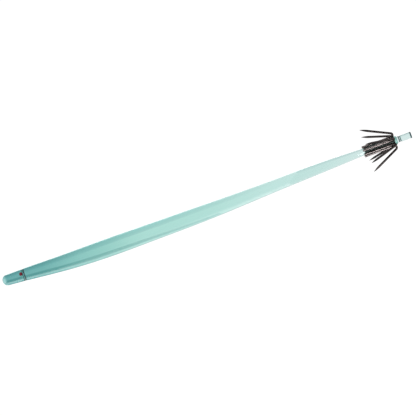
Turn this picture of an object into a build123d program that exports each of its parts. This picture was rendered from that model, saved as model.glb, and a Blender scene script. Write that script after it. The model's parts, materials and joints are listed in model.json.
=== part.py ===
from build123d import *
import math
import os

# A stick-shaped squid jig: a clear plastic stick with a line hole through its nose, a crown of six
# barbless hooks fixed round its tail, and a second line hole behind the crown.
#
# Millimetres. The origin is the middle of the nose line hole. +X runs along the stick to the tail,
# +Z is the straight back and -Z the belly. "Along" values are distances from the nose tip.

# Stick
TOTAL_LENGTH = 180.0  # nose tip to tail end
TIP_DIAMETER = 4.2  # across the nose tip before it is rounded
TIP_ROUND = 1.95  # radius of the rounded nose
TIP_RISE = 0.35  # the nose tip's centre above the nose hole's
NOSE_DIAMETER = 5.1  # across the stick at the nose hole
BODY_DIAMETER = 7.6  # across the stick at its thickest
BELLY_BOW = 1.4  # how far the centre line sags towards the belly
TAIL_DIAMETER = 2.7  # the spigot under the crown and the stub behind it
TAIL_CHAMFER = 0.15

# From the nose hole to the crown, each cross-section is a circle, given by its share of that
# stretch and its share of the bow. FRONT swells from the nose's diameter to the body's, and REAR
# falls from the body's diameter to the neck's: the third number is the share of that swell.
FRONT = (
    (0.0, 0.0, 0.0),
    (0.107, 0.62, 0.58),
)
REAR = (
    (0.24, 0.95, 1.0),
    (0.374, 0.99, 0.93),
    (0.508, 0.96, 0.83),
    (0.61, 0.83, 0.67),
    (0.743, 0.47, 0.45),
    (0.877, 0.14, 0.28),
    (1.0, 0.0, 0.0),
)

# Line holes, both along Z
NOSE_HOLE_ALONG = 9.1
NOSE_HOLE_DIAMETER = 1.3
TAIL_HOLE_FROM_END = 5.1
TAIL_HOLE_DIAMETER = 1.1
MOUTH_WIDENING = 0.25  # how much wider each mouth's radius is than the hole's
MOUTH_DEPTH = 0.3

# Red eye bead, on the -Y side of the nose
EYE_ALONG = 8.2
EYE_RISE = 0.72  # above the nose hole's centre
EYE_DIAMETER = 1.4
EYE_DEPTH = 0.9  # how deep its pocket goes below the stick's side
EYE_PROUD = 0.12  # how far its dome stands out
EYE_CLEARANCE = 0.02

# Crown
CROWN_LENGTH = 14.3  # cut ends of the shanks to the outside of the bends
STUB_LENGTH = 6.9  # tail end behind the bends
HOOK_ANGLES = (11.0, 73.0, 126.0, 187.0, 243.0, 311.0)  # from +Z towards -Y, soldered by hand
WIRE_DIAMETER = 0.95
BEND_RADIUS = 0.8  # of the wire's centre line
POINT_SPLAY = 26.0  # degrees between a hook's point and its shank
POINT_SETBACK = 1.5  # the point ends this far short of the shank's cut end
POINT_TAPER = 3.4  # length of the ground needle point
POINT_END_RADIUS = 0.04
SHANK_END_CHAMFER = 0.1

SLEEVE_WALL = 0.12  # the tube that the shanks are soldered to
SLEEVE_CLEARANCE = 0.02  # glue gap between the spigot and the tube
SLEEVE_RECESS = 0.65  # the tube starts this far inside the shanks' cut ends
SHANK_CLEARANCE = 0.01  # between a shank and the tube
NECK_CLEARANCE = 0.04  # between a shank and the plastic neck under its cut end
SLEEVE_END_GAP = 0.4  # the tube stops this far short of the bends' outside

SOLDER_NOSE_INSET = 1.2  # the seams start this far inside the tube's nose end
SOLDER_TAIL_INSET = 1.2  # and stop this far short of the bends
SOLDER_CLEARANCE = 0.01

COLLAR_DIAMETER = 3.5  # retaining collar behind the tube
COLLAR_LENGTH = 1.0
COLLAR_ROUND = 0.3
COLLAR_CLEARANCE = 0.02

# Worked out from the sizes above
crown_along = TOTAL_LENGTH - STUB_LENGTH - CROWN_LENGTH
crown_end_along = crown_along + CROWN_LENGTH
spigot_along = crown_along + SLEEVE_RECESS
sleeve_end_along = crown_end_along - SLEEVE_END_GAP
sleeve_length = sleeve_end_along - spigot_along
wire_radius = WIRE_DIAMETER / 2
bend_along = crown_end_along - wire_radius - BEND_RADIUS
seam_along = spigot_along + SOLDER_NOSE_INSET
seam_length = bend_along - SOLDER_TAIL_INSET - seam_along
sleeve_bore_radius = TAIL_DIAMETER / 2 + SLEEVE_CLEARANCE
sleeve_radius = sleeve_bore_radius + SLEEVE_WALL
shank_circle_radius = sleeve_radius + SHANK_CLEARANCE + wire_radius
neck_diameter = 2 * (shank_circle_radius - wire_radius - NECK_CLEARANCE)
tail_hole_x = TOTAL_LENGTH - TAIL_HOLE_FROM_END - NOSE_HOLE_ALONG


def x_at(along):
    """Turns a distance from the nose tip into an X place."""
    return along - NOSE_HOLE_ALONG


def across(along, z=0.0):
    """The plane across the stick at this distance from the nose tip, facing the tail."""
    return Plane(origin=(x_at(along), 0, z), x_dir=(0, 1, 0), z_dir=(1, 0, 0))


def rod(along, length, diameter):
    """A round bar along X that starts at this distance from the nose tip."""
    return across(along) * Cylinder(
        diameter / 2, length, align=(Align.CENTER, Align.CENTER, Align.MIN)
    )


def section(along, z, diameter):
    """One round cross-section of the stick."""
    return across(along, z) * Circle(diameter / 2)


def line_hole(x, diameter, stick_diameter):
    """The cutter for a line hole along Z, with a widened mouth at both ends."""
    half = stick_diameter / 2
    mouth = diameter / 2 + MOUTH_WIDENING
    reach = half - MOUTH_DEPTH
    cutter = Pos(x, 0, 0) * Cylinder(diameter / 2, 4 * half)
    # The cone carries on outwards at the same slope, so it clears the curved side.
    top = Cone(
        diameter / 2,
        mouth + MOUTH_WIDENING,
        2 * MOUTH_DEPTH,
        align=(Align.CENTER, Align.CENTER, Align.MIN),
    )
    cutter += Pos(x, 0, reach) * top
    cutter += Pos(x, 0, -reach) * Rot(180, 0, 0) * top
    return cutter


def stick_body():
    """The solid plastic stick: rounded nose, bowed swelling body, spigot and stub."""
    stretch = crown_along - NOSE_HOLE_ALONG
    sections = [section(0, TIP_RISE, TIP_DIAMETER)]
    for rows, end_diameter in ((FRONT, NOSE_DIAMETER), (REAR, neck_diameter)):
        for share, bow, swell in rows:
            diameter = end_diameter + swell * (BODY_DIAMETER - end_diameter)
            along = NOSE_HOLE_ALONG + share * stretch
            sections.append(section(along, -bow * BELLY_BOW, diameter))
    body = loft(sections)
    tip_edge = body.edges().sort_by(Axis.X)[0]
    body = fillet(tip_edge, min(TIP_ROUND, 0.48 * TIP_DIAMETER))
    body += rod(crown_along, SLEEVE_RECESS, neck_diameter)
    body += rod(spigot_along, TOTAL_LENGTH - spigot_along, TAIL_DIAMETER)
    body = chamfer(body.edges().sort_by(Axis.X)[-1], TAIL_CHAMFER)
    body -= line_hole(0, NOSE_HOLE_DIAMETER, NOSE_DIAMETER)
    body -= line_hole(tail_hole_x, TAIL_HOLE_DIAMETER, TAIL_DIAMETER)
    body -= eye_shape(EYE_DIAMETER + 2 * EYE_CLEARANCE, EYE_CLEARANCE, BODY_DIAMETER)
    return body


def eye_side():
    """How far out along -Y the stick's side is at the eye's height."""
    return math.sqrt((NOSE_DIAMETER / 2) ** 2 - EYE_RISE**2)


def eye_shape(diameter, extra_depth, length):
    """A round bar along -Y from the bottom of the eye's pocket outwards."""
    floor_y = -(eye_side() - EYE_DEPTH - extra_depth)
    place = Plane(origin=(x_at(EYE_ALONG), floor_y, EYE_RISE), z_dir=(0, -1, 0))
    return place * Cylinder(diameter / 2, length, align=(Align.CENTER, Align.CENTER, Align.MIN))


def eye_bead():
    """A red bead pressed into the side of the nose, with a domed outer face."""
    bead = eye_shape(EYE_DIAMETER, 0, EYE_DEPTH + EYE_PROUD)
    outer_edge = bead.edges().sort_by(Axis.Y)[0]
    return fillet(outer_edge, 0.4 * EYE_DIAMETER)


def crown_sleeve():
    """The thin tube that slides over the spigot and carries the shanks."""
    tube = rod(spigot_along, sleeve_length, 2 * sleeve_radius)
    return tube - rod(spigot_along, sleeve_length, 2 * sleeve_bore_radius)


def hook(angle):
    """One hook: straight shank, tight round bend at the tail, and a needle point splayed outwards."""
    turn = math.radians(180 - POINT_SPLAY)
    shank_start = x_at(crown_along)
    bend_centre = x_at(bend_along)
    corner = bend_centre + BEND_RADIUS * math.tan(turn / 2)
    point_x = shank_start + POINT_SETBACK
    point_run = (corner - point_x) / math.cos(math.radians(POINT_SPLAY))
    point_r = shank_circle_radius + point_run * math.sin(math.radians(POINT_SPLAY))
    back = (-math.cos(math.radians(POINT_SPLAY)), 0, math.sin(math.radians(POINT_SPLAY)))
    taper_start = (
        point_x - POINT_TAPER * back[0],
        0,
        point_r - POINT_TAPER * back[2],
    )
    centre_line = FilletPolyline(
        (shank_start, 0, shank_circle_radius),
        (corner, 0, shank_circle_radius),
        taper_start,
        radius=BEND_RADIUS,
    )
    start = Plane(origin=(shank_start, 0, shank_circle_radius), z_dir=(1, 0, 0))
    wire = sweep(start * Circle(wire_radius), path=centre_line)
    wire = chamfer(wire.edges().sort_by(Axis.X)[0], SHANK_END_CHAMFER)
    needle = Cone(
        wire_radius,
        POINT_END_RADIUS,
        POINT_TAPER,
        align=(Align.CENTER, Align.CENTER, Align.MIN),
    )
    wire += Plane(origin=taper_start, z_dir=back) * needle
    return Rot(angle, 0, 0) * wire


def solder_seams():
    """The solder that fills the grooves between neighbouring shanks, one seam in each groove."""
    ring = rod(seam_along, seam_length, 2 * shank_circle_radius)
    ring -= rod(seam_along, seam_length, 2 * (sleeve_radius + SOLDER_CLEARANCE))
    for angle in HOOK_ANGLES:
        shank = rod(seam_along, seam_length, WIRE_DIAMETER + 2 * SOLDER_CLEARANCE)
        ring -= Rot(angle, 0, 0) * Pos(0, 0, shank_circle_radius) * shank
    return ring


def retaining_collar():
    """The rounded plastic collar glued to the stub, which keeps the crown from sliding off."""
    collar = rod(sleeve_end_along, COLLAR_LENGTH, COLLAR_DIAMETER)
    outer_edges = collar.edges().sort_by(Axis.X)
    collar = fillet([outer_edges[0], outer_edges[-1]], COLLAR_ROUND)
    return collar - rod(sleeve_end_along, COLLAR_LENGTH, TAIL_DIAMETER + 2 * COLLAR_CLEARANCE)


def main():
    pieces = {
        "stick_body": stick_body(),
        "eye_bead": eye_bead(),
        "crown_sleeve": crown_sleeve(),
        "solder_seams": solder_seams(),
        "retaining_collar": retaining_collar(),
    }
    for number, angle in enumerate(HOOK_ANGLES, start=1):
        pieces[f"hook_{number}"] = hook(angle)
    os.makedirs("parts", exist_ok=True)
    for name, piece in pieces.items():
        export_step(piece, f"parts/{name}.step")


if __name__ == "__main__":
    main()
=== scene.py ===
import json
from math import asin, ceil, cos, pi, radians, sin, sqrt, tan

import bmesh
import bpy
from mathutils import Matrix, Vector, noise


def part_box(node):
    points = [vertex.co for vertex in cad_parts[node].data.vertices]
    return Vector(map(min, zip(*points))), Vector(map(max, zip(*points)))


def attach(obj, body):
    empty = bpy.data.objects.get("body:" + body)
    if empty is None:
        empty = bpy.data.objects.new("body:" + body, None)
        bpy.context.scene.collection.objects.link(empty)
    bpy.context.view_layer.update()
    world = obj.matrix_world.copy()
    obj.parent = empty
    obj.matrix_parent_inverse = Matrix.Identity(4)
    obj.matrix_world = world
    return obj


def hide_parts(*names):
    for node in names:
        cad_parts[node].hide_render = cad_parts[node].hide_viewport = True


bl_info = {
    "name": "Squid stick jig",
    "version": (1, 0, 0),
    "blender": (4, 5, 0),
    "location": "View3D > Sidebar > Squid jig",
    "description": "A clear moulded stick with two line holes and a soldered crown of six plated hooks",
    "category": "Object",
}

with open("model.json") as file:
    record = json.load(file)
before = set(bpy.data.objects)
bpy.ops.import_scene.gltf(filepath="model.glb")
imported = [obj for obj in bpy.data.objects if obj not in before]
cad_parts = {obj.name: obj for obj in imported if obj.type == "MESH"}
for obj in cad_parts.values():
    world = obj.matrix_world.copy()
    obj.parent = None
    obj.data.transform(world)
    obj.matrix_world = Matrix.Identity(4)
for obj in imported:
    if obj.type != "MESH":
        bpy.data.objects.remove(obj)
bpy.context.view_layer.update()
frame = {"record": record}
ROOT = "root"
MM = 0.001
GLUE_GAP = 0.02 * MM  # round what is glued on the spigot or in the nose
SHANK_GAP = 0.01 * MM  # between a shank and the tube or the solder


def mount(name):
    """One of the record's mounts: its place in metres and its bore radius in metres."""
    found = next(m for m in frame["record"]["mounts"] if m["name"] == name)
    return Vector(found["pos_m"]), found["dims"]["r_mm"] * MM


NOSE_HOLE, NOSE_HOLE_RADIUS = mount("nose_line_hole")
TAIL_HOLE, TAIL_HOLE_RADIUS = mount("tail_line_hole")
STICK_LOW, STICK_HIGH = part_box("stick_body")
SLEEVE_LOW, SLEEVE_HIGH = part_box("crown_sleeve")
COLLAR_LOW, COLLAR_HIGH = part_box("retaining_collar")
SEAMS_LOW, SEAMS_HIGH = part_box("solder_seams")
EYE_LOW, EYE_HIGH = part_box("eye_bead")
CROWN_LOW, CROWN_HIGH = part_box("hook_1")

# ---------------------------------------------------------------------------
# Sizes and colours a user may change
# ---------------------------------------------------------------------------


class SQUIDJIG_PG_stick(bpy.types.PropertyGroup):
    """Sizes and colours of the clear stick."""

    tip_diameter: bpy.props.FloatProperty(
        name="Tip diameter", description="Across the nose tip before it is rounded",
        default=4.2 * MM, unit="LENGTH")
    tip_round: bpy.props.FloatProperty(
        name="Tip round", description="Radius of the rounded nose", default=1.95 * MM, unit="LENGTH")
    tip_rise: bpy.props.FloatProperty(
        name="Tip rise", description="The tip's centre above the nose hole's",
        default=0.35 * MM, unit="LENGTH")
    nose_diameter: bpy.props.FloatProperty(
        name="Nose diameter", description="Across the stick at the nose hole",
        default=5.1 * MM, unit="LENGTH")
    body_diameter: bpy.props.FloatProperty(
        name="Body diameter", description="Across the stick at its thickest",
        default=7.6 * MM, unit="LENGTH")
    belly_bow: bpy.props.FloatProperty(
        name="Belly bow", description="How far the centre line sags towards the belly",
        default=1.4 * MM, unit="LENGTH")
    neck_diameter: bpy.props.FloatProperty(
        name="Neck diameter", description="Across the stick where the hook shanks start",
        default=2.92 * MM, unit="LENGTH")
    tail_diameter: bpy.props.FloatProperty(
        name="Tail diameter", description="Across the spigot and the stub",
        default=2.7 * MM, unit="LENGTH")
    dye: bpy.props.FloatVectorProperty(
        name="Dye", description="Colour that a depth of dyed acrylic lets through",
        default=(0.10, 0.746, 0.615), subtype="COLOR", min=0, max=1)
    dye_density: bpy.props.FloatProperty(
        name="Dye density", description="Strength of the dye, per metre of acrylic", default=130.0)


class SQUIDJIG_PG_crown(bpy.types.PropertyGroup):
    """Sizes of the hook crown."""

    wire_diameter: bpy.props.FloatProperty(
        name="Wire diameter", description="Thickness of the hook wire", default=0.95 * MM, unit="LENGTH")
    bend_radius: bpy.props.FloatProperty(
        name="Bend radius", description="Radius of the wire's centre line in the bend",
        default=0.8 * MM, unit="LENGTH")
    point_splay: bpy.props.FloatProperty(
        name="Point splay", description="Angle between a point and its shank",
        default=radians(26.0), unit="ROTATION")
    point_setback: bpy.props.FloatProperty(
        name="Point setback", description="The points end this far short of the shanks' cut ends",
        default=1.5 * MM, unit="LENGTH")
    point_taper: bpy.props.FloatProperty(
        name="Point taper", description="Length of the ground needle point",
        default=3.4 * MM, unit="LENGTH")


# ---------------------------------------------------------------------------
# Helpers
# ---------------------------------------------------------------------------


def srgb(code):
    """An sRGB hex colour as linear red, green, blue and alpha."""
    values = [int(code[i : i + 2], 16) / 255 for i in (1, 3, 5)]
    linear = [v / 12.92 if v <= 0.04045 else ((v + 0.055) / 1.055) ** 2.4 for v in values]
    return (*linear, 1.0)


def add_node(tree, kind, inputs=None, **settings):
    """Adds a node with its settings. inputs maps a socket's name or index to a value or a link."""
    node = tree.nodes.new(kind)
    for name, value in settings.items():
        setattr(node, name, value)
    for socket, value in (inputs or {}).items():
        if isinstance(value, bpy.types.NodeSocket):
            tree.links.new(value, node.inputs[socket])
        else:
            node.inputs[socket].default_value = value
    return node


def new_material(name):
    """An empty node material and its tree and output node."""
    material = bpy.data.materials.new(name)
    material.use_nodes = True
    tree = material.node_tree
    tree.nodes.clear()
    return material, tree, add_node(tree, "ShaderNodeOutputMaterial")


def ramp_stops(node, stops):
    """Sets a colour ramp's stops from (place, colour) pairs."""
    elements = node.color_ramp.elements
    while len(elements) > 2:
        elements.remove(elements[-1])
    for index, (place, colour) in enumerate(stops):
        element = elements[index] if index < 2 else elements.new(place)
        element.position = place
        element.color = colour
    return node


def new_piece(name, mesh, material, replaced):
    """A finished piece at the origin that rides on the body and stands for its CAD nodes."""
    piece = bpy.data.objects.new(name, mesh)
    bpy.context.scene.collection.objects.link(piece)
    mesh.materials.clear()
    mesh.materials.append(material)
    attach(piece, ROOT)
    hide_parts(*replaced)
    return piece


def tube_mesh(name, rings, closed_ends=True):
    """A mesh from a list of rings, each a list of points, joined in order."""
    mesh = bpy.data.meshes.new(name)
    count = len(rings[0])
    points = [p for ring in rings for p in ring]
    faces = []
    for i in range(len(rings) - 1):
        for j in range(count):
            k = (j + 1) % count
            faces.append((i * count + j, i * count + k, (i + 1) * count + k, (i + 1) * count + j))
    if closed_ends:
        faces.append(tuple(range(count))[::-1])
        faces.append(tuple((len(rings) - 1) * count + j for j in range(count)))
    mesh.from_pydata([tuple(p) for p in points], [], faces)
    outward(mesh)
    return mesh


def outward(mesh):
    """Merges doubled points and turns all faces outwards."""
    bm = bmesh.new()
    bm.from_mesh(mesh)
    bmesh.ops.remove_doubles(bm, verts=bm.verts, dist=1e-7)
    bmesh.ops.recalc_face_normals(bm, faces=bm.faces)
    bm.to_mesh(mesh)
    bm.free()


def smooth(mesh, angle=35.0):
    """Smooth shading with sharp edges past an angle in degrees."""
    mesh.shade_smooth()
    mesh.set_sharp_from_angle(angle=radians(angle))


def ring_x(x, centre_z, radius, count, turn=0.0):
    """Points of a circle across X."""
    angles = [turn + 2 * pi * j / count for j in range(count)]
    return [Vector((x, radius * sin(a), centre_z + radius * cos(a))) for a in angles]


def lathe_x(name, outline, count):
    """Turns a closed outline of (x, radius) points about the X axis into a ring-shaped mesh."""
    rings = [ring_x(x, 0.0, r, count) for x, r in outline]
    rings.append(rings[0])
    return tube_mesh(name, rings, closed_ends=False)


def arc(centre, radius, start, end, steps):
    """Points of an arc in a plane, with angles in degrees."""
    angles = [radians(start + (end - start) * i / steps) for i in range(steps + 1)]
    return [(centre[0] + radius * cos(a), centre[1] + radius * sin(a)) for a in angles]


def through_points(rows):
    """A smooth curve through (x, value) rows: a natural cubic spline, as a function of x."""
    xs = [row[0] for row in rows]
    ys = [row[1] for row in rows]
    n = len(rows) - 1
    h = [xs[i + 1] - xs[i] for i in range(n)]
    slopes = [0.0] * (n + 1)
    upper = [0.0] * (n + 1)
    rest = [0.0] * (n + 1)
    for i in range(1, n):
        pull = 3 * ((ys[i + 1] - ys[i]) / h[i] - (ys[i] - ys[i - 1]) / h[i - 1])
        pivot = 2 * (xs[i + 1] - xs[i - 1]) - h[i - 1] * upper[i - 1]
        upper[i] = h[i] / pivot
        rest[i] = (pull - h[i - 1] * rest[i - 1]) / pivot
    for i in range(n - 1, 0, -1):
        slopes[i] = rest[i] - upper[i] * slopes[i + 1]

    def value(x):
        i = max(0, min(n - 1, sum(1 for place in xs[1:-1] if place <= x)))
        d = x - xs[i]
        bend = (slopes[i + 1] - slopes[i]) / (3 * h[i])
        rise = (ys[i + 1] - ys[i]) / h[i] - h[i] * (slopes[i + 1] + 2 * slopes[i]) / 3
        return ys[i] + d * (rise + d * (slopes[i] + d * bend))

    return value


def baked(piece):
    """The evaluated mesh of an object with live modifiers, as a plain mesh."""
    graph = bpy.context.evaluated_depsgraph_get()
    mesh = bpy.data.meshes.new_from_object(piece.evaluated_get(graph))
    bpy.data.objects.remove(piece)
    return mesh


# ---------------------------------------------------------------------------
# Materials
# ---------------------------------------------------------------------------


def dyed_acrylic(name, dye, density, shaded_holes=(), cut_end=1.0):
    """Injection-moulded clear acrylic, dyed through: thick parts look deeper teal than thin ones, and
    the dye deepens towards the nose. Painted shade darkens the drilled walls of the line holes and
    the cut end face at the tail."""
    material, tree, out = new_material(name)
    place = add_node(tree, "ShaderNodeTexCoord").outputs["Object"]
    # Sink and flow marks: very shallow waves about 9 mm long, stretched along the stick.
    flow_at = add_node(tree, "ShaderNodeMapping", {"Vector": place, "Scale": (0.35, 1.0, 1.0)})
    flow = add_node(
        tree, "ShaderNodeTexNoise",
        {"Vector": flow_at.outputs[0], "Scale": 1 / (3.2 * MM), "Detail": 1.0, "Roughness": 0.4})
    # Handling scuffs: streaks about 0.8 mm wide that dull the polish a little.
    scuff_at = add_node(tree, "ShaderNodeMapping", {"Vector": place, "Scale": (0.12, 1.0, 1.0)})
    scuffs = add_node(
        tree, "ShaderNodeTexNoise",
        {"Vector": scuff_at.outputs[0], "Scale": 1 / (0.8 * MM), "Detail": 3.0, "Roughness": 0.6})
    rough = add_node(
        tree, "ShaderNodeMapRange",
        {"Value": scuffs.outputs["Fac"], "From Min": 0.45, "From Max": 0.8, "To Min": 0.0, "To Max": 0.03})
    waves = add_node(
        tree, "ShaderNodeBump",
        {"Height": flow.outputs["Fac"], "Strength": 0.1, "Distance": 0.02 * MM})
    along = add_node(tree, "ShaderNodeSeparateXYZ", {0: place}).outputs["X"]
    share = add_node(
        tree, "ShaderNodeMapRange", {"Value": along, "From Min": -9 * MM, "From Max": 60 * MM})
    tint = ramp_stops(
        add_node(tree, "ShaderNodeValToRGB", {"Fac": share.outputs[0]}),
        ((0.0, srgb("#C8E7E9")), (0.25, srgb("#C8E7E9")), (0.48, srgb("#E9F7F8")), (0.8, srgb("#FFFFFF"))))
    shade = tint.outputs[0]
    # Painted shade darkens the walls of each line hole.
    for hole, radius in shaded_holes:
        flat = add_node(
            tree, "ShaderNodeVectorMath", {0: place, 1: (1.0, 1.0, 0.0)}, operation="MULTIPLY")
        away = add_node(
            tree, "ShaderNodeVectorMath", {0: flat.outputs[0], 1: hole}, operation="DISTANCE")
        # Painted shade lies on the hole's wall and fades within 0.12 mm of the mouth's edge.
        wall = add_node(
            tree, "ShaderNodeMapRange",
            {"Value": away.outputs["Value"], "From Min": radius, "From Max": radius + 0.12 * MM,
             "To Min": 1.0, "To Max": 0.0})
        # The painted shade is darkest on the two sides of the wall that face along the stick and lightest on
        # the sides that face across it.
        offset = add_node(tree, "ShaderNodeMath", {0: along, 1: hole.x}, operation="SUBTRACT")
        side = add_node(tree, "ShaderNodeMath", {0: offset.outputs[0]}, operation="ABSOLUTE")
        side_weight = add_node(
            tree, "ShaderNodeMapRange",
            {"Value": side.outputs[0], "From Min": 0.25 * radius, "From Max": 0.7 * radius,
             "To Min": 0.2, "To Max": 1.0})
        hole_shade = add_node(
            tree, "ShaderNodeMath", {0: wall.outputs[0], 1: side_weight.outputs[0]}, operation="MULTIPLY")
        shade = add_node(
            tree, "ShaderNodeMix", {"Factor": hole_shade.outputs[0], "A": shade, "B": srgb("#2C4A4D")},
            data_type="RGBA").outputs["Result"]
    # Painted shade: the last half millimetre of the stick and its cut end face are drawn dark teal grey.
    end = add_node(
        tree, "ShaderNodeMapRange",
        {"Value": along, "From Min": cut_end - 0.62 * MM, "From Max": cut_end - 0.5 * MM})
    end_shade = add_node(
        tree, "ShaderNodeMix", {"Factor": end.outputs[0], "A": shade, "B": srgb("#3A5256")},
        data_type="RGBA")
    glass = add_node(
        tree, "ShaderNodeBsdfPrincipled",
        {"Base Color": end_shade.outputs["Result"], "Roughness": rough.outputs[0], "IOR": 1.49,
         "Transmission Weight": 1.0, "Normal": waves.outputs[0]})
    depth = add_node(
        tree, "ShaderNodeVolumeAbsorption", {"Color": (*dye, 1.0), "Density": density})
    tree.links.new(glass.outputs[0], out.inputs["Surface"])
    tree.links.new(depth.outputs[0], out.inputs["Volume"])
    return material


def red_bead_plastic():
    """Moulded crimson plastic bead: deep glossy red, paler and duller where it has been handled."""
    material, tree, out = new_material("crimson_bead_plastic")
    place = add_node(tree, "ShaderNodeTexCoord").outputs["Object"]
    cloud = add_node(
        tree, "ShaderNodeTexNoise", {"Vector": place, "Scale": 1 / (0.35 * MM), "Detail": 3.0})
    tint = ramp_stops(
        add_node(tree, "ShaderNodeValToRGB", {"Fac": cloud.outputs["Fac"]}),
        ((0.35, srgb("#3C000B")), (0.7, srgb("#600017"))))
    rough = add_node(
        tree, "ShaderNodeMapRange",
        {"Value": cloud.outputs["Fac"], "From Min": 0.3, "From Max": 0.7, "To Min": 0.25, "To Max": 0.45})
    skin = add_node(
        tree, "ShaderNodeBsdfPrincipled",
        {"Base Color": tint.outputs[0], "Roughness": rough.outputs[0], "IOR": 1.49,
         "Specular IOR Level": 0.25})
    tree.links.new(skin.outputs[0], out.inputs["Surface"])
    return material


def plated_wire():
    """Black-nickel-plated drawn steel wire: near-black brown mirror with fine draw lines along it,
    and bare grey steel showing at the ground point."""
    material, tree, out = new_material("black_nickel_wire")
    along = add_node(tree, "ShaderNodeAttribute", attribute_name="wire_place").outputs["Vector"]
    # Draw lines about 0.06 mm apart and 4 mm long, coarser than real ones, which are too fine to show.
    lines_at = add_node(tree, "ShaderNodeMapping", {"Vector": along, "Scale": (0.25, 8.0, 8.0)})
    lines = add_node(
        tree, "ShaderNodeTexNoise", {"Vector": lines_at.outputs[0], "Scale": 1.0, "Detail": 2.0})
    place = add_node(tree, "ShaderNodeTexCoord").outputs["Object"]
    patches = add_node(
        tree, "ShaderNodeTexNoise", {"Vector": place, "Scale": 1 / (1.5 * MM), "Detail": 4.0})
    tint = ramp_stops(
        add_node(tree, "ShaderNodeValToRGB", {"Fac": patches.outputs["Fac"]}),
        ((0.3, srgb("#3D3735")), (0.55, srgb("#4B4442")), (0.8, srgb("#665F5C"))))
    bare = add_node(
        tree, "ShaderNodeAttribute", attribute_name="bare_steel").outputs["Fac"]
    # The first 12 mm of the wire, its shank, is a lighter grey-brown than the leg: painted sheen,
    #     a lighter copy of the same plating that makes the shank's highlight lines brighter.
    length = add_node(tree, "ShaderNodeSeparateXYZ", {0: along}).outputs["X"]
    shank = add_node(
        tree, "ShaderNodeMapRange",
        {"Value": length, "From Min": 11.0, "From Max": 13.0, "To Min": 1.0, "To Max": 0.0})
    shank_sheen = add_node(
        tree, "ShaderNodeMix",
        {"Factor": shank.outputs[0], "A": tint.outputs[0], "B": srgb("#8E8683")}, data_type="RGBA")
    colour = add_node(
        tree, "ShaderNodeMix",
        {"Factor": bare, "A": shank_sheen.outputs["Result"], "B": srgb("#6F6865")}, data_type="RGBA")
    rough = add_node(
        tree, "ShaderNodeMapRange",
        {"Value": lines.outputs["Fac"], "From Min": 0.3, "From Max": 0.7, "To Min": 0.2, "To Max": 0.3})
    grooves = add_node(
        tree, "ShaderNodeBump",
        {"Height": lines.outputs["Fac"], "Strength": 0.05, "Distance": 0.01 * MM})
    metal = add_node(
        tree, "ShaderNodeBsdfPrincipled",
        {"Base Color": colour.outputs["Result"], "Metallic": 1.0, "Roughness": rough.outputs[0],
         "Normal": grooves.outputs[0]})
    tree.links.new(metal.outputs[0], out.inputs["Surface"])
    return material


def plated_tube():
    """Thin plated tube seen between the shanks: dark grey-green metal with a brushed turn."""
    material, tree, out = new_material("plated_sleeve_tube")
    place = add_node(tree, "ShaderNodeTexCoord").outputs["Object"]
    turned_at = add_node(tree, "ShaderNodeMapping", {"Vector": place, "Scale": (1.0, 0.2, 0.2)})
    turned = add_node(
        tree, "ShaderNodeTexNoise",
        {"Vector": turned_at.outputs[0], "Scale": 1 / (0.25 * MM), "Detail": 2.0})
    tint = ramp_stops(
        add_node(tree, "ShaderNodeValToRGB", {"Fac": turned.outputs["Fac"]}),
        ((0.3, srgb("#2E3835")), (0.7, srgb("#4B5753"))))
    metal = add_node(
        tree, "ShaderNodeBsdfPrincipled",
        {"Base Color": tint.outputs[0], "Metallic": 1.0, "Roughness": 0.38})
    tree.links.new(metal.outputs[0], out.inputs["Surface"])
    return material


def plated_solder():
    """Soft solder run between the shanks and plated over: dark, lumpy and satin."""
    material, tree, out = new_material("plated_solder")
    place = add_node(tree, "ShaderNodeTexCoord").outputs["Object"]
    lumps = add_node(
        tree, "ShaderNodeTexNoise", {"Vector": place, "Scale": 1 / (0.5 * MM), "Detail": 4.0})
    tint = ramp_stops(
        add_node(tree, "ShaderNodeValToRGB", {"Fac": lumps.outputs["Fac"]}),
        ((0.3, srgb("#38403D")), (0.7, srgb("#5E6562"))))
    dents = add_node(
        tree, "ShaderNodeBump",
        {"Height": lumps.outputs["Fac"], "Strength": 0.3, "Distance": 0.04 * MM})
    metal = add_node(
        tree, "ShaderNodeBsdfPrincipled",
        {"Base Color": tint.outputs[0], "Metallic": 1.0, "Roughness": 0.45, "Normal": dents.outputs[0]})
    tree.links.new(metal.outputs[0], out.inputs["Surface"])
    return material


# ---------------------------------------------------------------------------
# The stick
# ---------------------------------------------------------------------------

# From the nose hole to the shanks' cut ends: share of that stretch, share of the bow, and share of
# the swell from the nose (first rows) or the neck (later rows) up to the body's diameter.
NOSE_ROWS = ((0.0, 0.0, 0.0), (0.107, 0.62, 0.58))
NECK_ROWS = (
    (0.24, 0.95, 1.0),
    (0.374, 0.99, 0.93),
    (0.508, 0.96, 0.83),
    (0.61, 0.83, 0.67),
    (0.743, 0.47, 0.45),
    (0.877, 0.14, 0.28),
    (1.0, 0.0, 0.0),
)
STICK_SIDES = 96
RING_SPACING = 0.45 * MM
NOSE_RINGS = 20
NECK_STEP_ROUND = 0.05 * MM
TAIL_END_ROUND = 0.15 * MM
TAIL_END_STEPS = 4
MOUTH_ROUND = 0.3 * MM
CUTTER_SIDES = 48
EYE_SIDES = 40
DOME_STEPS = 10


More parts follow.
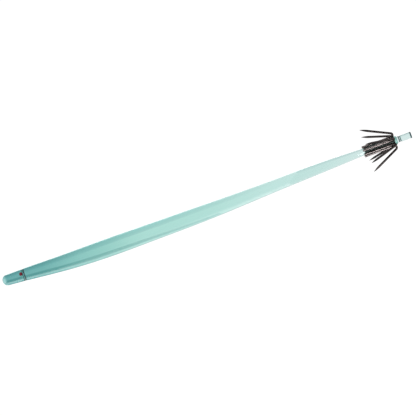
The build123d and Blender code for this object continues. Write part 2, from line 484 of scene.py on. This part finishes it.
def stick_profile(sizes):
    """(x, centre height, radius) rings from the nose tip to the tail end."""
    stretch = CROWN_LOW.x
    places = [(STICK_LOW.x, sizes.tip_rise)]
    radii = [(STICK_LOW.x, sizes.tip_diameter / 2)]
    for rows, end in ((NOSE_ROWS, sizes.nose_diameter), (NECK_ROWS, sizes.neck_diameter)):
        for share, bow, swell in rows:
            places.append((share * stretch, -bow * sizes.belly_bow))
            radii.append((share * stretch, (end + swell * (sizes.body_diameter - end)) / 2))
    centre = through_points(places)
    radius = through_points(radii)
    tip = STICK_LOW.x
    curl = sizes.tip_round
    rings = []
    for i in range(1, NOSE_RINGS + 1):
        turn = 0.5 * pi * i / NOSE_RINGS
        x = tip + curl * (1 - cos(turn))
        rings.append((x, centre(x), radius(x) - curl * (1 - sin(turn))))
    steps = ceil((stretch - tip - curl) / RING_SPACING)
    for i in range(1, steps + 1):
        x = tip + curl + (stretch - tip - curl) * i / steps
        rings.append((x, centre(x), radius(x)))
    neck = sizes.neck_diameter / 2
    spigot = sizes.tail_diameter / 2
    shoulder = SLEEVE_LOW.x
    rings.append((shoulder - NECK_STEP_ROUND, 0.0, neck))
    rings.append((shoulder, 0.0, neck - NECK_STEP_ROUND))
    rings.append((shoulder, 0.0, spigot))
    end = STICK_HIGH.x
    steps = ceil((end - TAIL_END_ROUND - shoulder) / RING_SPACING)
    for i in range(1, steps + 1):
        rings.append((shoulder + (end - TAIL_END_ROUND - shoulder) * i / steps, 0.0, spigot))
    for i in range(1, TAIL_END_STEPS + 1):
        turn = 0.5 * pi * i / TAIL_END_STEPS
        rings.append((
            end - TAIL_END_ROUND * (1 - sin(turn)), 0.0, spigot - TAIL_END_ROUND * (1 - cos(turn))))
    return rings


def line_hole_cutter(name, place, radius, stick_radius):
    """A bar along Z whose ends flare like a rounded line hole's mouths."""
    top = stick_radius - MOUTH_ROUND
    outline = arc((top, radius + MOUTH_ROUND), MOUTH_ROUND, -90, -15, 8)
    last_z, last_r = outline[-1]
    outline.append((last_z + MOUTH_ROUND, last_r + 3 * MOUTH_ROUND))
    full = [(-z, r) for z, r in reversed(outline)] + outline
    angles = [2 * pi * j / CUTTER_SIDES for j in range(CUTTER_SIDES)]
    rings = [[place + Vector((r * cos(a), r * sin(a), z)) for a in angles] for z, r in full]
    cutter = bpy.data.objects.new(name, tube_mesh(name, rings))
    bpy.context.scene.collection.objects.link(cutter)
    return cutter


def eye_place():
    """Centre of the eye's pocket floor, its radius and how far it is from the floor to the face."""
    centre = (EYE_LOW + EYE_HIGH) / 2
    floor = Vector((centre.x, EYE_HIGH.y, centre.z))
    return floor, (EYE_HIGH.x - EYE_LOW.x) / 2, EYE_HIGH.y - EYE_LOW.y


def lathe_eye(name, outline):
    """Turns (depth, radius) points about the eye's axis, which runs along -Y."""
    floor, _, _ = eye_place()
    angles = [2 * pi * j / EYE_SIDES for j in range(EYE_SIDES)]
    rings = [[floor + Vector((r * cos(a), -d, r * sin(a))) for a in angles] for d, r in outline]
    return tube_mesh(name, rings)


class SQUIDJIG_OT_stick(bpy.types.Operator):
    """Makes the clear bowed stick with its rounded nose, line holes, eye pocket, spigot and stub"""

    bl_idname = "squidjig.stick"
    bl_label = "Clear stick"

    def execute(self, context):
        sizes = context.scene.squidjig_stick
        rings = [ring_x(x, z, r, STICK_SIDES) for x, z, r in stick_profile(sizes)]
        blank = bpy.data.objects.new("stick_blank", tube_mesh("stick_blank", rings))
        context.scene.collection.objects.link(blank)
        _, eye_radius, eye_height = eye_place()
        bore = eye_radius + GLUE_GAP
        pocket_mesh = lathe_eye("eye_pocket", ((-GLUE_GAP, bore), (4 * eye_height, bore)))
        pocket = bpy.data.objects.new("eye_pocket", pocket_mesh)
        context.scene.collection.objects.link(pocket)
        cutters = [
            line_hole_cutter("nose_cutter", NOSE_HOLE, NOSE_HOLE_RADIUS, sizes.nose_diameter / 2),
            line_hole_cutter("tail_cutter", TAIL_HOLE, TAIL_HOLE_RADIUS, sizes.tail_diameter / 2),
            pocket,
        ]
        for cutter in cutters:
            cut = blank.modifiers.new(cutter.name, "BOOLEAN")
            cut.operation = "DIFFERENCE"
            cut.solver = "EXACT"
            cut.object = cutter
        mesh = baked(blank)
        for cutter in cutters:
            bpy.data.objects.remove(cutter)
        smooth(mesh)
        # Painted shade goes on the walls of both line holes.
        shaded_holes = ((NOSE_HOLE, NOSE_HOLE_RADIUS), (TAIL_HOLE, TAIL_HOLE_RADIUS))
        acrylic = dyed_acrylic(
            "aqua_moulded_acrylic", tuple(sizes.dye), sizes.dye_density, shaded_holes, STICK_HIGH.x)
        new_piece("clear_stick", mesh, acrylic, ["stick_body"])
        return {"FINISHED"}


class SQUIDJIG_OT_eye(bpy.types.Operator):
    """Makes the domed crimson bead in the side of the nose"""

    bl_idname = "squidjig.eye"
    bl_label = "Eye bead"

    def execute(self, context):
        _, radius, height = eye_place()
        dome = 0.35 * radius
        outline = [(0.0, 0.01 * radius), (0.0, 0.9 * radius), (0.1 * radius, radius)]
        for i in range(DOME_STEPS + 1):
            turn = 0.5 * pi * i / DOME_STEPS
            outline.append((height - dome * (1 - sin(turn)), radius * max(0.01, cos(turn))))
        mesh = lathe_eye("eye_dome", outline)
        smooth(mesh, 50)
        new_piece("eye_dome", mesh, red_bead_plastic(), ["eye_bead"])
        return {"FINISHED"}


# ---------------------------------------------------------------------------
# The crown
# ---------------------------------------------------------------------------

HOOK_ANGLES = (11.0, 73.0, 126.0, 187.0, 243.0, 311.0)  # degrees from +Z towards -Y
WIRE_STEP = 0.12 * MM
LATHE_SIDES = 64
SLEEVE_LIP = 0.03 * MM
COLLAR_ROUND = 0.3 * MM

# Solder seams
SEAM_STEPS = 40
SEAM_END_ROUND = 0.6 * MM
SEAM_THINNEST = 0.08  # share of the full height that is left at a seam's ends
SEAM_UNEVENNESS = 1.4 * MM  # length of the lumps along a seam
SEAM_SEED_STEP = 3.7  # sets one seam's lumps apart from the next
SEAM_FOOT = 0.12  # radians between a shank's middle and the seam's edge on the tube
SEAM_UNDER_STEPS = 10
SEAM_TOP_STEPS = 14


def hook_tree():
    """Geometry Nodes: a three-point path, rounded at the bend, given a wire with a needle point and
    turned round the stick."""
    tree = bpy.data.node_groups.new("Plated hook", "GeometryNodeTree")
    face = tree.interface
    face.new_socket("Geometry", in_out="INPUT", socket_type="NodeSocketGeometry")
    for name, kind in (
        ("Shank start", "NodeSocketVector"),
        ("Corner", "NodeSocketVector"),
        ("Point", "NodeSocketVector"),
        ("Angle", "NodeSocketFloat"),
        ("Bend radius", "NodeSocketFloat"),
        ("Wire radius", "NodeSocketFloat"),
        ("Taper length", "NodeSocketFloat"),
        ("Material", "NodeSocketMaterial"),
    ):
        face.new_socket(name, in_out="INPUT", socket_type=kind)
    face.new_socket("Geometry", in_out="OUTPUT", socket_type="NodeSocketGeometry")
    given = add_node(tree, "NodeGroupInput").outputs
    line = add_node(tree, "GeometryNodeMeshLine", {"Count": 3}, mode="OFFSET")
    index = add_node(tree, "GeometryNodeInputIndex").outputs[0]
    place = add_node(
        tree, "GeometryNodeIndexSwitch",
        {"Index": index, "0": given["Shank start"], "1": given["Corner"]}, data_type="VECTOR")
    place.index_switch_items.new()
    tree.links.new(given["Point"], place.inputs["2"])
    path = add_node(
        tree, "GeometryNodeSetPosition", {"Geometry": line.outputs[0], "Position": place.outputs[0]})
    curve = add_node(tree, "GeometryNodeMeshToCurve", {"Mesh": path.outputs[0]})
    rounded = add_node(
        tree, "GeometryNodeFilletCurve",
        {"Curve": curve.outputs[0], "Count": 24, "Radius": given["Bend radius"], "Limit Radius": True},
        mode="POLY")
    even = add_node(
        tree, "GeometryNodeResampleCurve", {"Curve": rounded.outputs[0], "Length": WIRE_STEP}, mode="LENGTH")
    total = add_node(tree, "GeometryNodeCurveLength", {"Curve": even.outputs[0]})
    done = add_node(tree, "GeometryNodeSplineParameter").outputs["Length"]
    left = add_node(
        tree, "ShaderNodeMath", {0: total.outputs[0], 1: done}, operation="SUBTRACT")
    start_share = add_node(
        tree, "ShaderNodeMapRange",
        {"Value": done, "From Min": 0.0, "From Max": WIRE_STEP, "To Min": 0.75, "To Max": 1.0})
    ground = add_node(
        tree, "ShaderNodeMapRange",
        {"Value": left.outputs[0], "From Min": 0.0, "From Max": given["Taper length"],
         "To Min": 0.96, "To Max": 0.0})
    # A ground point is fullest behind its tip: the share left out falls off as a power.
    taken = add_node(tree, "ShaderNodeMath", {0: ground.outputs[0], 1: 1.9}, operation="POWER")
    needle = add_node(tree, "ShaderNodeMath", {0: 1.0, 1: taken.outputs[0]}, operation="SUBTRACT")
    share = add_node(
        tree, "ShaderNodeMath", {0: needle.outputs[0], 1: start_share.outputs[0]}, operation="MULTIPLY")
    wire_radius = add_node(
        tree, "ShaderNodeMath", {0: share.outputs[0], 1: given["Wire radius"]}, operation="MULTIPLY")
    # Places on the wire in millimetres: along it, and across it in two directions.
    length_mm = add_node(tree, "ShaderNodeMath", {0: done, 1: 1 / MM}, operation="MULTIPLY")
    kept_length = add_node(
        tree, "GeometryNodeStoreNamedAttribute",
        {"Geometry": even.outputs[0], "Name": "wire_length", "Value": length_mm.outputs[0]},
        data_type="FLOAT", domain="POINT")
    left_share = add_node(
        tree, "ShaderNodeMapRange",
        {"Value": left.outputs[0], "From Min": 0.0, "From Max": given["Taper length"],
         "To Min": 1.0, "To Max": 0.0})
    bare = add_node(tree, "ShaderNodeMath", {0: left_share.outputs[0], 1: 2.0}, operation="POWER")
    kept_bare = add_node(
        tree, "GeometryNodeStoreNamedAttribute",
        {"Geometry": kept_length.outputs[0], "Name": "bare_steel", "Value": bare.outputs[0]},
        data_type="FLOAT", domain="POINT")
    circle = add_node(tree, "GeometryNodeCurvePrimitiveCircle", {"Resolution": 24, "Radius": 1.0})
    profile_place = add_node(tree, "GeometryNodeInputPosition").outputs[0]
    kept_round = add_node(
        tree, "GeometryNodeStoreNamedAttribute",
        {"Geometry": circle.outputs[0], "Name": "wire_round", "Value": profile_place},
        data_type="FLOAT_VECTOR", domain="POINT")
    wire = add_node(
        tree, "GeometryNodeCurveToMesh",
        {"Curve": kept_bare.outputs[0], "Profile Curve": kept_round.outputs[0],
         "Scale": wire_radius.outputs[0], "Fill Caps": True})
    read_length = add_node(
        tree, "GeometryNodeInputNamedAttribute", {"Name": "wire_length"}, data_type="FLOAT")
    read_round = add_node(
        tree, "GeometryNodeInputNamedAttribute", {"Name": "wire_round"}, data_type="FLOAT_VECTOR")
    split = add_node(tree, "ShaderNodeSeparateXYZ", {0: read_round.outputs[0]})
    joined = add_node(
        tree, "ShaderNodeCombineXYZ",
        {"X": read_length.outputs[0], "Y": split.outputs["X"], "Z": split.outputs["Y"]})
    placed = add_node(
        tree, "GeometryNodeStoreNamedAttribute",
        {"Geometry": wire.outputs[0], "Name": "wire_place", "Value": joined.outputs[0]},
        data_type="FLOAT_VECTOR", domain="POINT")
    turn = add_node(tree, "ShaderNodeCombineXYZ", {"X": given["Angle"]})
    turned = add_node(
        tree, "GeometryNodeTransform", {"Geometry": placed.outputs[0], "Rotation": turn.outputs[0]})
    soft = add_node(tree, "GeometryNodeSetShadeSmooth", {"Geometry": turned.outputs[0]})
    real = add_node(tree, "GeometryNodeRealizeInstances", {"Geometry": soft.outputs[0]})
    coloured = add_node(
        tree, "GeometryNodeSetMaterial", {"Geometry": real.outputs[0], "Material": given["Material"]})
    add_node(tree, "NodeGroupOutput", {0: coloured.outputs[0]})
    return tree


def grown(name, tree, values):
    """The plain mesh that a Geometry Nodes tree makes with these inputs."""
    holder = bpy.data.objects.new(name, bpy.data.meshes.new(name))
    bpy.context.scene.collection.objects.link(holder)
    grow = holder.modifiers.new(name, "NODES")
    grow.node_group = tree
    for item in tree.interface.items_tree:
        if item.in_out == "INPUT" and item.name in values:
            grow[item.identifier] = values[item.name]
    return baked(holder)


def shank_circle(crown):
    """Radius of the circle on which the shanks' centre lines stand."""
    return (SLEEVE_HIGH.z - SLEEVE_LOW.z) / 2 + crown.wire_diameter / 2 + SHANK_GAP


class SQUIDJIG_OT_hooks(bpy.types.Operator):
    """Makes the six plated hooks round the spigot"""

    bl_idname = "squidjig.hooks"
    bl_label = "Hooks"

    def execute(self, context):
        crown = context.scene.squidjig_crown
        wire = crown.wire_diameter / 2
        height = shank_circle(crown)
        start = Vector((CROWN_LOW.x, 0.0, height))
        bend_x = CROWN_HIGH.x - wire - crown.bend_radius
        corner = Vector((bend_x + crown.bend_radius * tan((pi - crown.point_splay) / 2), 0.0, height))
        point_x = CROWN_LOW.x + crown.point_setback
        point = Vector((point_x, 0.0, height + (corner.x - point_x) * tan(crown.point_splay)))
        tree = hook_tree()
        finish = plated_wire()
        for number, angle in enumerate(HOOK_ANGLES, start=1):
            mesh = grown("hook_wire", tree, {
                "Shank start": start, "Corner": corner, "Point": point,
                "Angle": radians(angle), "Bend radius": crown.bend_radius,
                "Wire radius": wire, "Taper length": crown.point_taper, "Material": finish})
            outward(mesh)
            smooth(mesh, 40)
            new_piece(f"hook_wire_{number}", mesh, finish, [f"hook_{number}"])
        return {"FINISHED"}


class SQUIDJIG_OT_sleeve(bpy.types.Operator):
    """Makes the thin tube under the shanks and the rounded collar behind it"""

    bl_idname = "squidjig.sleeve"
    bl_label = "Sleeve and collar"

    def execute(self, context):
        stick = context.scene.squidjig_stick
        bore = stick.tail_diameter / 2 + GLUE_GAP
        outer = (SLEEVE_HIGH.z - SLEEVE_LOW.z) / 2
        lip = SLEEVE_LIP
        outline = [
            (SLEEVE_LOW.x, bore), (SLEEVE_LOW.x, outer - lip), (SLEEVE_LOW.x + lip, outer),
            (SLEEVE_HIGH.x - lip, outer), (SLEEVE_HIGH.x, outer - lip), (SLEEVE_HIGH.x, bore),
        ]
        mesh = lathe_x("sleeve_tube", outline, LATHE_SIDES)
        smooth(mesh)
        new_piece("sleeve_tube", mesh, plated_tube(), ["crown_sleeve"])

        wide = (COLLAR_HIGH.z - COLLAR_LOW.z) / 2
        curl = COLLAR_ROUND
        ring = [(COLLAR_LOW.x, bore)]
        ring += arc((COLLAR_LOW.x + curl, wide - curl), curl, 180, 90, 8)
        ring += arc((COLLAR_HIGH.x - curl, wide - curl), curl, 90, 0, 8)
        ring.append((COLLAR_HIGH.x, bore))
        mesh = lathe_x("collar_ring", ring, LATHE_SIDES)
        smooth(mesh)
        pale = dyed_acrylic("aqua_collar_acrylic", (0.12, 0.60, 0.52), 1500.0)
        new_piece("collar_ring", mesh, pale, ["retaining_collar"])
        return {"FINISHED"}


class SQUIDJIG_OT_solder(bpy.types.Operator):
    """Makes the solder that has run into the grooves between neighbouring shanks"""

    bl_idname = "squidjig.solder"
    bl_label = "Solder seams"

    def execute(self, context):
        crown = context.scene.squidjig_crown
        wire = crown.wire_diameter / 2 + SHANK_GAP
        circle = shank_circle(crown)
        base = (SLEEVE_HIGH.z - SLEEVE_LOW.z) / 2 + SHANK_GAP
        combined = bmesh.new()
        for number, angle in enumerate(HOOK_ANGLES):
            following = HOOK_ANGLES[(number + 1) % len(HOOK_ANGLES)]
            sweep = (following - angle) % 360
            rings = []
            for i in range(SEAM_STEPS + 1):
                share = i / SEAM_STEPS
                x = SEAMS_LOW.x + share * (SEAMS_HIGH.x - SEAMS_LOW.x)
                end = min(share, 1 - share) * (SEAMS_HIGH.x - SEAMS_LOW.x) / SEAM_END_ROUND
                swell = max(SEAM_THINNEST, sqrt(max(0.0, 1 - (1 - min(1.0, end)) ** 2)))
                wobble = noise.noise(Vector((x / SEAM_UNEVENNESS, SEAM_SEED_STEP * number, 0.5)))
                rings.append(
                    self.groove(x, radians(angle), radians(sweep), circle, wire, base, swell, wobble))
            mesh = tube_mesh("seam", rings)
            combined.from_mesh(mesh)
            bpy.data.meshes.remove(mesh)
        mesh = bpy.data.meshes.new("solder_grooves")
        combined.to_mesh(mesh)
        combined.free()
        smooth(mesh, 60)
        new_piece("solder_grooves", mesh, plated_solder(), ["solder_seams"])
        return {"FINISHED"}

    def groove(self, x, angle, sweep, circle, wire, base, swell, wobble):
        """One cross-section of a seam: along the sleeve, up a shank, over the hollow and back."""
        lean = asin(wire / circle)
        points = []
        # Along the sleeve, between the two shanks' feet.
        for i in range(SEAM_UNDER_STEPS + 1):
            a = angle + SEAM_FOOT + (sweep - 2 * SEAM_FOOT) * i / SEAM_UNDER_STEPS
            points.append((base, a))
        # The hollow top hangs between the shanks, highest where it wets them.
        for i in range(SEAM_TOP_STEPS + 1):
            share = i / SEAM_TOP_STEPS
            a = angle + sweep - lean * 1.02 - (sweep - 2.04 * lean) * share
            hollow = sin(pi * share)
            climb = circle - base
            height = base + climb * swell * (0.92 - (0.45 + 0.12 * wobble) * hollow)
            points.append((height, a))
        return [Vector((x, -r * sin(a), r * cos(a))) for r, a in points]


# ---------------------------------------------------------------------------
# Stage
# ---------------------------------------------------------------------------

PICTURE_WIDTH = 172.5 * MM
PICTURE_TILT = 19.9  # degrees that the stick rises to the right
PICTURE_CENTRE = Vector((81.3 * MM, 0.0, 0.1 * MM))
LENS = 400.0
SENSOR = 36.0
CAMERA_DISTANCE = PICTURE_WIDTH * LENS / SENSOR
WHITE = 1.06  # radiance of the studio's white surroundings
FLOOR_REACH = 3.0
FLOOR_LEVEL = -180 * MM

# Shades of the studio cards
SHADES = {
    "white": "#F9F6F9",
    "pale": "#E7E7EC",
    "haze": "#CEDDE1",
    "mint": "#BCE1E7",
    "mid": "#90BCC2",
    "deep": "#6CA2A6",
    "dark": "#387C81",
    "dusk": "#2A6C70",
    "grey": "#8C9694",
    "shadow": "#3A3C3B",
}

# Plain graded cards bent round the stick: name, radius in mm, strength and stations along the stick.
# Each station gives the place in mm and (degrees above the horizontal behind the stick, shade) rows.
# Pale paper stands behind, an aqua card above and a darker one below, which fade towards the tail.
# Grey flags hang overhead and low behind the tail, and a pale card stands in front.
CARDS = (
    ("paper", 150, 1.0, (
        (-170, ((-66, "haze"), (66, "haze"))),
        (-10, ((-66, "mid"), (66, "mid"))),
        (50, ((-66, "white"), (66, "white"))),
        (330, ((-66, "white"), (66, "white"))),
    )),
    ("high_card", 140, 1.0, (
        (-170, ((0, "haze"), (15, "haze"), (30, "white"))),
        (-10, ((0, "deep"), (15, "deep"), (30, "white"))),
        (80, ((25, "white"), (35, "haze"), (45, "haze"))),
    )),
    ("low_card", 130, 1.0, (
        (-170, ((-66, "haze"), (-15, "haze"))),
        (-10, ((-66, "dark"), (-15, "mid"))),
        (50, ((-66, "mint"), (-15, "pale"))),
        (110, ((-66, "white"), (-15, "white"))),
    )),
    ("overhead_flag", 100, 1.0, (
        (-170, ((66, "haze"), (120, "haze"))),
        (-30, ((66, "grey"), (120, "grey"))),
        (180, ((66, "grey"), (120, "grey"))),
        (330, ((66, "haze"), (120, "haze"))),
    )),
    ("tail_flag", 110, 1.0, (
        (120, ((-66, "haze"), (-15, "white"))),
        (180, ((-66, "dusk"), (-15, "white"))),
        (330, ((-66, "haze"), (-15, "white"))),
    )),
    ("front_card", 140, 1.0, (
        (-170, ((120, "haze"), (180, "white"), (240, "haze"))),
        (-10, ((120, "mid"), (180, "haze"), (240, "mid"))),
        (50, ((120, "haze"), (180, "white"), (240, "haze"))),
        (330, ((120, "haze"), (180, "white"), (240, "haze"))),
    )),
)
# Cards that only metal and gloss mirror, because bright strips would burn through clear plastic.
CROWN_CARDS = (
    ("crown_dark_card", 70, 1.0, (
        (120, ((112, "shadow"), (290, "shadow"))),
        (195, ((112, "shadow"), (290, "shadow"))),
    )),
    ("crown_low_strip", 60, 7.0, (
        (151.5, ((196, "white"), (246, "white"))),
        (163, ((196, "white"), (246, "white"))),
    )),
    ("crown_top_strip", 60, 4.0, (
        (152.5, ((76, "white"), (106, "white"))),
        (162, ((76, "white"), (106, "white"))),
    )),
)
CARD_STEPS = 8  # facets between two rows or two stations of a card


def blend(low, high, share):
    """Part of the way from one tuple of numbers to another."""
    return tuple(a + share * (b - a) for a, b in zip(low, high))


def card(name, radius, strength, stations):
    """A studio card bent round the stick. Only reflections and what shows through clear plastic
    can see it: it gives the clear plastic soft graded shades to bend."""
    lines = [
        [(x, angle, *srgb(SHADES[shade])) for angle, shade in edges] for x, edges in stations
    ]
    shares = [i / CARD_STEPS for i in range(CARD_STEPS)]
    lines = [
        [blend(a, b, s) for a, b in zip(line, line[1:]) for s in shares] + [line[-1]] for line in lines
    ]
    rows = len(lines[0])
    grid = [
        [blend(a, b, s) for a, b in zip(left, right)]
        for left, right in zip(lines, lines[1:]) for s in shares
    ] + [lines[-1]]
    points, colours, faces = [], [], []
    for line in grid:
        for x, angle, *colour in line:
            seen_x = x * MM + (x * MM - PICTURE_CENTRE.x) * radius * MM / CAMERA_DISTANCE
            turn = radians(angle)
            points.append((seen_x, radius * MM * cos(turn), radius * MM * sin(turn)))
            colours.extend(colour)
    for i in range(len(grid) - 1):
        for j in range(rows - 1):
            k = i * rows + j
            faces.append((k, k + 1, k + 1 + rows, k + rows))
    mesh = bpy.data.meshes.new(name)
    mesh.from_pydata(points, [], faces)
    mesh.color_attributes.new("shade", "FLOAT_COLOR", "POINT").data.foreach_set("color", colours)
    material, tree, out = new_material(name)
    shade = add_node(tree, "ShaderNodeVertexColor", layer_name="shade")
    glow = add_node(tree, "ShaderNodeEmission", {"Color": shade.outputs[0], "Strength": strength})
    tree.links.new(glow.outputs[0], out.inputs["Surface"])
    mesh.materials.append(material)
    board = bpy.data.objects.new(name, mesh)
    bpy.context.scene.collection.objects.link(board)
    board.visible_camera = False
    board.visible_shadow = False
    board.visible_diffuse = False
    return board


def soft_box(name, place, aim, width, height, power):
    """A soft rectangular studio light."""
    light = bpy.data.lights.new(name, "AREA")
    light.shape = "RECTANGLE"
    light.size = width
    light.size_y = height
    light.energy = power
    lamp = bpy.data.objects.new(name, light)
    lamp.location = place
    lamp.rotation_euler = (aim - place).to_track_quat("-Z", "Y").to_euler()
    lamp.visible_glossy = False
    lamp.visible_transmission = False
    bpy.context.scene.collection.objects.link(lamp)


class SQUIDJIG_OT_stage(bpy.types.Operator):
    """Sets up the pale floor, the soft studio light and the camera"""

    bl_idname = "squidjig.stage"
    bl_label = "Stage"

    def execute(self, context):
        scene = context.scene
        scene.view_settings.view_transform = "Standard"
        world = bpy.data.worlds.new("studio_white")
        world.use_nodes = True
        scene.world = world
        backdrop = world.node_tree.nodes["Background"]
        backdrop.inputs["Color"].default_value = (1.0, 1.0, 1.0, 1.0)
        backdrop.inputs["Strength"].default_value = WHITE

        mesh = bpy.data.meshes.new("pale_floor")
        corners = ((-1, -1), (1, -1), (1, 1), (-1, 1))
        mesh.from_pydata(
            [(x * FLOOR_REACH, y * FLOOR_REACH, FLOOR_LEVEL) for x, y in corners], [], [(0, 1, 2, 3)])
        material, tree, out = new_material("pale_matt_floor")
        paper = add_node(
            tree, "ShaderNodeBsdfPrincipled", {"Base Color": srgb("#FAFAF9"), "Roughness": 0.9})
        tree.links.new(paper.outputs[0], out.inputs["Surface"])
        mesh.materials.append(material)
        floor = bpy.data.objects.new("pale_floor", mesh)
        scene.collection.objects.link(floor)

        for name, radius, strength, stations in CARDS:
            card(name, radius, strength, stations)
        for name, radius, strength, stations in CROWN_CARDS:
            card(name, radius, strength, stations).visible_transmission = False

        aim = Vector((80 * MM, 0, 0))
        soft_box("key_light", Vector((-0.1, -0.5, 0.6)), aim, 0.5, 0.35, 6.0)
        soft_box("top_light", Vector((0.1, 0.1, 0.6)), aim, 0.6, 0.2, 5.0)

        lens = bpy.data.cameras.new("camera")
        lens.lens = LENS
        lens.sensor_width = SENSOR
        camera = bpy.data.objects.new("camera", lens)
        tilt = radians(PICTURE_TILT)
        right = Vector((cos(tilt), 0, -sin(tilt)))
        up = Vector((sin(tilt), 0, cos(tilt)))
        back = Vector((0, -1, 0))
        camera.matrix_world = Matrix.Translation(PICTURE_CENTRE + back * CAMERA_DISTANCE) @ Matrix(
            (right, up, back)).transposed().to_4x4()
        scene.collection.objects.link(camera)
        scene.camera = camera
        return {"FINISHED"}


# ---------------------------------------------------------------------------
# Panel, registration and the run
# ---------------------------------------------------------------------------

OPERATORS = (
    SQUIDJIG_OT_stick, SQUIDJIG_OT_eye, SQUIDJIG_OT_hooks, SQUIDJIG_OT_sleeve, SQUIDJIG_OT_solder,
    SQUIDJIG_OT_stage,
)


class SQUIDJIG_PT_panel(bpy.types.Panel):
    """Lists the jig's sizes and the buttons that make its pieces."""

    bl_idname = "SQUIDJIG_PT_panel"
    bl_label = "Squid jig"
    bl_space_type = "VIEW_3D"
    bl_region_type = "UI"
    bl_category = "Squid jig"

    def draw(self, context):
        for group in (context.scene.squidjig_stick, context.scene.squidjig_crown):
            for name in group.__annotations__:
                self.layout.prop(group, name)
        for operator in OPERATORS:
            self.layout.operator(operator.bl_idname)


CLASSES = (SQUIDJIG_PG_stick, SQUIDJIG_PG_crown, *OPERATORS, SQUIDJIG_PT_panel)


def register():
    for each in CLASSES:
        bpy.utils.register_class(each)
    bpy.types.Scene.squidjig_stick = bpy.props.PointerProperty(type=SQUIDJIG_PG_stick)
    bpy.types.Scene.squidjig_crown = bpy.props.PointerProperty(type=SQUIDJIG_PG_crown)


def unregister():
    del bpy.types.Scene.squidjig_crown
    del bpy.types.Scene.squidjig_stick
    for each in reversed(CLASSES):
        bpy.utils.unregister_class(each)


def main():
    register()
    bpy.ops.squidjig.stage()
    bpy.ops.squidjig.stick()
    bpy.ops.squidjig.eye()
    bpy.ops.squidjig.hooks()
    bpy.ops.squidjig.sleeve()
    bpy.ops.squidjig.solder()


if __name__ == "__main__":
    main()
